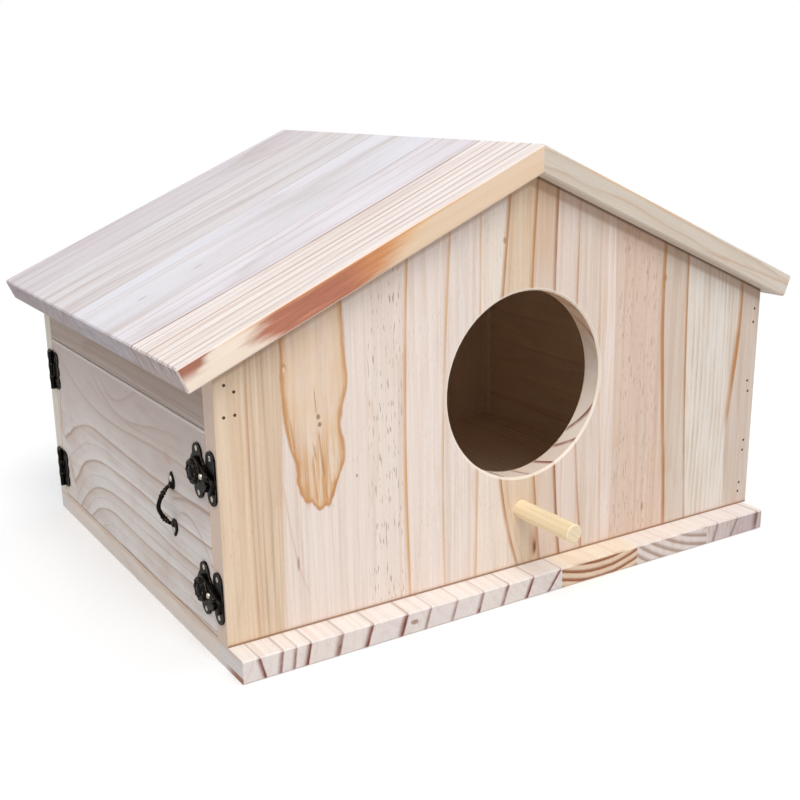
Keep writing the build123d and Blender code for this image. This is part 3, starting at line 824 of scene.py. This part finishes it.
cover_inside = cover.times(cover.within(cover.a, (-124, -121), (124, 121)), cover.span(depth, 11.9, 12.5))
# Painted light on the roof's face inside the chamber.
cover.mark(CHAMBER_LIT_PALE, cover_inside, cover.span(away, 182, 176), 0.8)
cover.dress("roof_right", (210, 200, 196), 0.85)

# Perch: a pale yellow dowel.
dowel = Board("wood_perch", X, Y, 9, (253, 235, 198))
dowel.grain(rings=0.3, spacing=2.6, near=4, reach=12, streaks=0.08, dashes=0.2, late=(232, 200, 150))
dowel.dress("perch", (243, 243, 250), 0.9, 0.5)


def bronze(name, body, worn, rough):
    """A metal, lighter on its edges: wear and painted highlight together."""
    net = Net(bpy.data.materials.new(name))
    place = net.add("TexCoord").outputs["Object"]
    cloud = net.noise(place, 420.0, 4.0, 0.6)
    grit = net.noise(place, 2600.0, 2.0)
    round_normal = net.add("Bevel", {"Radius": 0.0005}, samples=4).outputs[0]
    flat = net.add("NewGeometry").outputs["Normal"]
    turn = net.add("VectorMath", {0: round_normal, 1: flat}, operation="DOT_PRODUCT").outputs["Value"]
    # The lighter edges are wear and painted highlight together.
    edge = net.times(net.span(turn, 0.985, 0.86), net.span(cloud, 0.35, 0.6))
    shade = tuple(0.6 * part for part in body[:3]) + (1.0,)
    colour = net.blend(net.span(cloud, 0.3, 0.7, 0.0, 0.6), body, shade)
    colour = net.blend(net.times(edge, 0.6), colour, worn)
    bump = {"Strength": 0.25, "Distance": 0.0001, "Height": net.total(cloud, grit), "Normal": round_normal}
    inputs = {
        "Base Color": colour,
        "Metallic": 0.9,
        "Specular Tint": grey(0.6),
        "Roughness": net.span(cloud, 0.3, 0.7, rough - 0.08, rough + 0.12, "LINEAR"),
        "Coat Weight": 0.08,
        "Coat Roughness": 0.15,
    }
    return net.surface(inputs, bump)


dark_bronze = bronze("antique_bronze", tone(22, 18, 16), tone(150, 132, 106), 0.3)
# Painted highlight: the latch, catch and handle screws and the hook pins are in a bright metal that stands
# in for their glints; the hinge screws are a darker copy.
glint_metal = bronze("glint_metal", tone(214, 206, 192), tone(240, 234, 222), 0.22)
dark_screws = bronze("dark_screws", tone(44, 36, 30), tone(120, 104, 82), 0.35)
iron = bronze("nail_iron", tone(98, 80, 64), tone(124, 106, 88), 0.55)


class Piece:
    """A mesh on the left face. Places are (u, v, w) in mm: u towards the front, v up, w outwards."""

    def __init__(self, u, v):
        self.mesh = bmesh.new()
        self.origin = (u, v)

    def at(self, u, v, w):
        return Vector((-HALF_WIDTH - w, -self.origin[0] - u, self.origin[1] + v)) / 1000

    def skin(self, rings):
        """Joins rings of places into a closed surface."""
        rows = [[self.mesh.verts.new(self.at(*place)) for place in ring] for ring in rings]
        for low, high in zip(rows, rows[1:]):
            count = len(low)
            for index in range(count):
                after = (index + 1) % count
                self.mesh.faces.new((low[index], low[after], high[after], high[index]))
        self.mesh.faces.new(list(reversed(rows[0])))
        self.mesh.faces.new(rows[-1])

    def plate(self, outline, low, high, edge):
        """A plate with a rounded upper edge; the outline is (u, v) and runs anticlockwise."""
        rings = [[(u, v, low) for u, v in outline]]
        for step in range(4):
            angle = math.radians(30 * step)
            inset = edge * (1 - math.cos(angle))
            rings.append([(u, v, high - edge + edge * math.sin(angle)) for u, v in shrunk(outline, inset)])
        self.skin(rings)

    def turned(self, u, v, profile, count=32, lobes=0, bite=0.0):
        """A turned form about an axis out of the face; the profile is (radius, w)."""
        rings = []
        for radius, w in profile:
            ring = []
            for index in range(count):
                angle = 2 * math.pi * index / count
                reach = radius * (1 - bite + bite * math.cos(lobes * angle))
                ring.append((u + reach * math.cos(angle), v + reach * math.sin(angle), w))
            rings.append(ring)
        self.skin(rings)

    def screw(self, u, v, base, radius, rise, slot_angle):
        """A slotted head: two halves with a gap between them over a lower disc."""
        self.turned(u, v, [(radius, 0.0), (radius, base - 0.35), (radius * 0.9, base - 0.3)], 24)
        turn = math.radians(slot_angle)
        levels = [(1.0, -0.4), (1.0, 0.25 * rise), (0.85, 0.75 * rise), (0.55, rise)]
        for half in (0, 1):
            rings = []
            for scale, lift in levels:
                reach = radius * scale
                limit = math.asin(min(0.95, HALF_SLOT / reach))
                ring = []
                for index in range(13):
                    angle = limit + (math.pi - 2 * limit) * index / 12 + math.pi * half + turn
                    ring.append((u + reach * math.cos(angle), v + reach * math.sin(angle), base + lift))
                rings.append(ring)
            self.skin(rings)

    def finish(self, name, body, slot, material, *stands_for):
        bmesh.ops.recalc_face_normals(self.mesh, faces=self.mesh.faces)
        mesh = bpy.data.meshes.new(name)
        self.mesh.to_mesh(mesh)
        self.mesh.free()
        mesh.shade_smooth()
        mesh.set_sharp_from_angle(angle=math.radians(40))
        mesh.materials.append(material)
        piece = placed(name, mesh)
        if stands_for:
            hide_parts(*stands_for)
        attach(piece, body)


def shrunk(outline, inset):
    """The outline moved inwards by inset."""
    result = []
    count = len(outline)
    for index, (u, v) in enumerate(outline):
        before, after = outline[index - 1], outline[(index + 1) % count]
        along = Vector((after[0] - before[0], after[1] - before[1]))
        along.normalize()
        result.append((u - inset * along.y, v + inset * along.x))
    return result


def arc(u, v, radius, start, end, count):
    """Places on an arc, with angles in degrees."""
    angles = [math.radians(start + (end - start) * index / (count - 1)) for index in range(count)]
    return [(u + radius * math.cos(angle), v + radius * math.sin(angle)) for angle in angles]


HALF_SLOT = 0.22
LATCH_U = 112.5
PULL_U = 76.0
PULL_V = 66.2
STUD = (15.2, -3.0)
HUB = 7.0
TIP = 4.6
NOTCH = 1.9


def hook_outline():
    """Hub and tip joined by straight sides, less the notch that drops over the stud."""
    distance = math.hypot(*STUD)
    turn = math.degrees(math.atan2(STUD[1], STUD[0]))
    open_angle = math.degrees(math.acos((HUB - TIP) / distance))
    tip = arc(*STUD, TIP, turn - open_angle, turn + open_angle, 40)
    hub = arc(0, 0, HUB, turn + open_angle, turn + 360 - open_angle, 60)
    start, end = Vector(hub[-1]), Vector(tip[0])
    side = [tuple(start.lerp(end, k / 40)) for k in range(1, 40)]
    inner, outer = distance - NOTCH, distance + NOTCH
    rim = tip + hub + side
    first = next(k for k, place in enumerate(tip) if math.hypot(*place) > outer)
    last = next(k for k, place in enumerate(side) if math.hypot(*place) > inner)
    notch = arc(0, 0, inner, turn - 21.0, turn, 12) + arc(*STUD, NOTCH, turn + 170, turn + 10, 14)
    notch += arc(0, 0, outer, turn, turn - 14.0, 8)
    notch = [place for place in notch if inside_hull(place, rim)]
    return tip[first:] + hub + side[:last] + notch


def inside_hull(place, rim):
    """True inside a convex outline that runs anticlockwise."""
    for start, end in zip(rim, rim[1:] + rim[:1]):
        if (end[0] - start[0]) * (place[1] - start[1]) - (end[1] - start[1]) * (place[0] - start[0]) < 0.02:
            return False
    return True


for level, height in (("upper", 94.2), ("lower", 35.0)):
    hook = Piece(LATCH_U, height)
    hook.plate(hook_outline(), 1.25, 2.85, 0.4)
    petals = [
        (6.4, 2.5), (6.4, 3.3), (6.2, 4.0), (5.7, 4.5), (5.1, 4.7), (4.5, 4.6), (4.0, 4.3), (3.7, 3.95),
        (3.3, 3.9),
    ]
    hook.turned(0, 0, petals, 96, 8, 0.03)
    for number in range(8):
        angle = math.radians(45 * number)
        bead = [(0.6, 4.3), (0.6, 4.7), (0.45, 4.9), (0.15, 5.0)]
        hook.turned(4.9 * math.cos(angle), 4.9 * math.sin(angle), bead, 12)
    knob = [(0.8, 2.6), (0.7, 3.1), (1.0, 3.45), (1.1, 3.85), (0.85, 4.2), (0.4, 4.35)]
    hook.turned(15.2, 0.25, knob, 20)
    hook.turned(11.3, -1.6, [(1.5, 2.6), (1.4, 2.95), (1.0, 3.2), (0.4, 3.3)], 20)
    hook.finish(f"latch_{level}_hook_cast", f"{level}_hook", "hardware", dark_bronze, f"latch_{level}_hook")

    # The pin is in the bright metal: a painted glint.
    stud = Piece(LATCH_U, height)
    stud.turned(8.6, -0.3, [(1.5, 2.6), (1.5, 3.1), (1.3, 3.6), (0.9, 3.85), (0.3, 3.95)], 20)
    stud.finish(f"latch_{level}_hook_pin", f"{level}_hook", "hardware", glint_metal)

    rivet = Piece(LATCH_U, height)
    angles = [math.radians(angle) for angle in (20, 38, 55, 70, 82)]
    dome = [(3.0 * math.cos(angle), 4.3 + 0.9 * math.sin(angle)) for angle in angles]
    rivet.turned(0, 0, [(1.5, 0.0), (1.5, 4.0), (3.0, 4.0), (3.0, 4.3), *dome], 40)
    rivet.finish(f"latch_{level}_rivet_dome", "side_door", "hardware", dark_bronze, f"latch_{level}_rivet")


def bow_place(turn):
    """A place on the handle's bow, between an ellipse and a blunt wedge."""
    wedge = (1.0149 - math.sqrt(math.sin(turn) ** 2 + 0.03)) / 0.8417
    return Vector((0.0, 10.2 * math.sin(turn), 1.0 + 7.2 * (0.6 * math.cos(turn) + 0.4 * wedge)))


handle = Piece(PULL_U, PULL_V)
bow = []
for step in range(49):
    turn = math.radians(-90 + 180 * step / 48)
    place = bow_place(turn)
    along = (bow_place(turn + 0.01) - bow_place(turn - 0.01)).normalized()
    outward = along.cross(Vector((1, 0, 0)))
    thick = 0.85 + 0.25 * math.cos(turn)
    for centre in (-42, 42):
        off = abs(math.degrees(turn) - centre)
        thick = max(thick, 1.75 - 0.16 * off, 1.35 if 8 < off < 13 else 0)
    ring = []
    for side_step in range(16):
        angle = math.radians(22.5 * side_step)
        sideways = Vector((thick * math.cos(angle), 0, 0))
        ring.append(tuple(place + sideways + outward * thick * math.sin(angle)))
    bow.append(ring)
handle.skin(bow)
for end in (1, -1):
    leaf = []
    for k in range(25):
        part = k / 24
        swell = math.sin(math.pi * min(1.0, part * 1.02)) ** 0.9
        width = 1.6 + 2.1 * swell * (1 - 0.3 * part) - 1.6 * part ** 2.2
        leaf.append((max(0.12, width), 8.1 + 9.0 * part))
    outline = [(width, end * v) for width, v in leaf] + [(-width, end * v) for width, v in reversed(leaf)]
    if end < 0:
        outline.reverse()
    handle.plate(outline, 0.0, 1.1, 0.35)
    handle.turned(0, end * 10.2, [(1.9, 0.9), (1.9, 1.4), (1.5, 1.9), (1.0, 2.2)], 24)
handle.finish("pull_handle_cast", "side_door", "hardware", dark_bronze, "pull_handle")

hinge_heights = (102.8, 88.2, 38.3, 23.7)
catch_heights = (103.9, 84.5, 44.7, 25.3)
base_heights = (105.0, 83.4, 45.8, 24.2)
foot_heights = (79.7, 52.7)
door_screws = [(LATCH_U, v, 1.1, 1.35, 0.04) for v in base_heights]
door_screws += [(PULL_U, v, 1.1, 1.7, 0.4) for v in foot_heights]
catch_screws = [(127.7, v, 1.0, 1.35, 0.12) for v in catch_heights]
door_leaf_screws = [(-115.2, v, 0.9, 1.85, 0.45) for v in hinge_heights]
wall_leaf_screws = [(-127.8, v, 0.9, 1.85, 0.45) for v in hinge_heights]
turns = random.Random(5)
# The bright metal on the door and catch screws is painted highlight.
for name, body, metal, places in (
    ("screws_side_door", "side_door", glint_metal, door_screws),
    ("screws_house", "house", glint_metal, catch_screws),
    ("screws_door_hinge_leaves", "side_door", dark_screws, door_leaf_screws),
    ("screws_house_hinge_leaves", "house", dark_screws, wall_leaf_screws),
):
    heads = Piece(0, 0)
    for u, v, base, radius, rise in places:
        heads.screw(u, v, base, radius, rise, turns.uniform(0, 180))
    heads.finish(name, body, "hardware", metal)

nail_places = [
    (-169.6, 138.4), (-165, 134.8), (-170.5, 123.7), (-165.1, 124.1), (171.0, 134.9), (170.7, 126.8),
    (169.1, 91.0), (170.2, 84.3), (169.5, 53.3), (169.1, 47.0), (168.1, 26.1), (167.6, 20.4),
]
nails = Piece(0, 0)
for x, z in nail_places:
    for outwards in (-1, 1):
        rings = []
        for radius, lift in ((0.8, -1.0), (0.8, 0.03), (0.6, 0.06)):
            ring = []
            for k in range(14):
                angle = 2 * math.pi * k / 14
                u, w = -outwards * (HALF_DEPTH + lift), -HALF_WIDTH - x - radius * math.cos(angle)
                ring.append((u, z + radius * math.sin(angle), w))
            rings.append(ring)
        nails.skin(rings)
nails.finish("nail_heads", "house", "hardware", iron)

for node in nodes.values():
    if node.name.startswith(("hinge", "latch", "pull")):
        node.data.materials.clear()
        node.data.materials.append(dark_bronze)


def seen(net):
    """1 for rays that come straight, by a reflection or through glass from the camera, and else 0."""
    path = net.add("LightPath").outputs
    direct = net.math("MAXIMUM", path["Is Camera Ray"], path["Is Glossy Ray"])
    return net.math("MAXIMUM", direct, path["Is Transmission Ray"])


def stage_floor():
    """A pale floor that fades to white."""
    reach = 4.0
    corners = [(-reach, -reach, 0), (reach, -reach, 0), (reach, reach, 0), (-reach, reach, 0)]
    mesh = bpy.data.meshes.new("floor_stage")
    mesh.from_pydata(corners, [], [(0, 1, 2, 3)])
    plane = placed("floor_stage", mesh)
    net = Net(bpy.data.materials.new("stage_pale"))
    place = net.add("TexCoord").outputs["Object"]
    away = net.add("VectorMath", {0: place}, operation="LENGTH").outputs["Value"]
    pale = net.blend(net.add("LightPath").outputs["Is Camera Ray"], grey(0.72), grey(1.0))
    matte = net.add("BsdfDiffuse", {"Color": pale})
    white = net.add("Emission", {"Color": grey(1.0), "Strength": 1.0})
    fade = net.times(net.span(away, 0.3, 0.85), seen(net))
    mixed = net.add("MixShader", {0: fade, 1: matte.outputs[0], 2: white.outputs[0]})
    net.add("OutputMaterial", {0: mixed.outputs[0]})
    mesh.materials.append(net.owner)


def stage_world():
    """A soft cool light all round, white where it is seen."""
    scene.world = bpy.data.worlds.new("studio")
    net = Net(scene.world)
    soft = net.add("Background", {0: (0.93, 0.96, 1.0, 1.0), 1: 0.38})
    plain = net.add("Background", {0: grey(1.0)})
    mixed = net.add("MixShader", {0: seen(net), 1: soft.outputs[0], 2: plain.outputs[0]})
    net.add("OutputWorld", {0: mixed.outputs[0]})


def sun(name, towards, strength, spread, colour):
    """A light from a direction; spread is its width in degrees."""
    lamp = bpy.data.lights.new(name, "SUN")
    lamp.energy = strength
    lamp.angle = math.radians(spread)
    lamp.color = colour
    holder = placed(name, lamp)
    holder.rotation_mode = "QUATERNION"
    holder.rotation_quaternion = Vector(towards).to_track_quat("Z", "Y")


stage_floor()
stage_world()
sun("key", (-0.22, -0.68, 1.0), 1.4, 36, (1.0, 0.995, 0.98))
sun("fill", (-0.4, -1.0, 0.25), 0.42, 110, (1.0, 0.98, 0.95))
sun("top", (0.0, -0.2, 1.0), 1.05, 100, (0.98, 0.99, 1.0))

camera_data = bpy.data.cameras.new("camera")
camera_data.sensor_width = 36.0
camera_data.lens = 51.3522
camera_data.shift_x = -0.01377
camera_data.shift_y = 0.01939
camera_data.clip_start = 0.05
camera_data.clip_end = 50.0
camera = placed("camera", camera_data)
side = Vector((0.842064, -0.539267, -0.010945))
down = Vector((-0.158302, -0.227689, -0.960780))
ahead = Vector((0.515624, 0.810771, -0.277096))
turn = Matrix((side, -down, -ahead)).transposed().to_4x4()
camera.matrix_world = Matrix.Translation((-0.361216, -0.588709, 0.264014)) @ turn
scene.camera = camera

scene.view_settings.view_transform = "Standard"
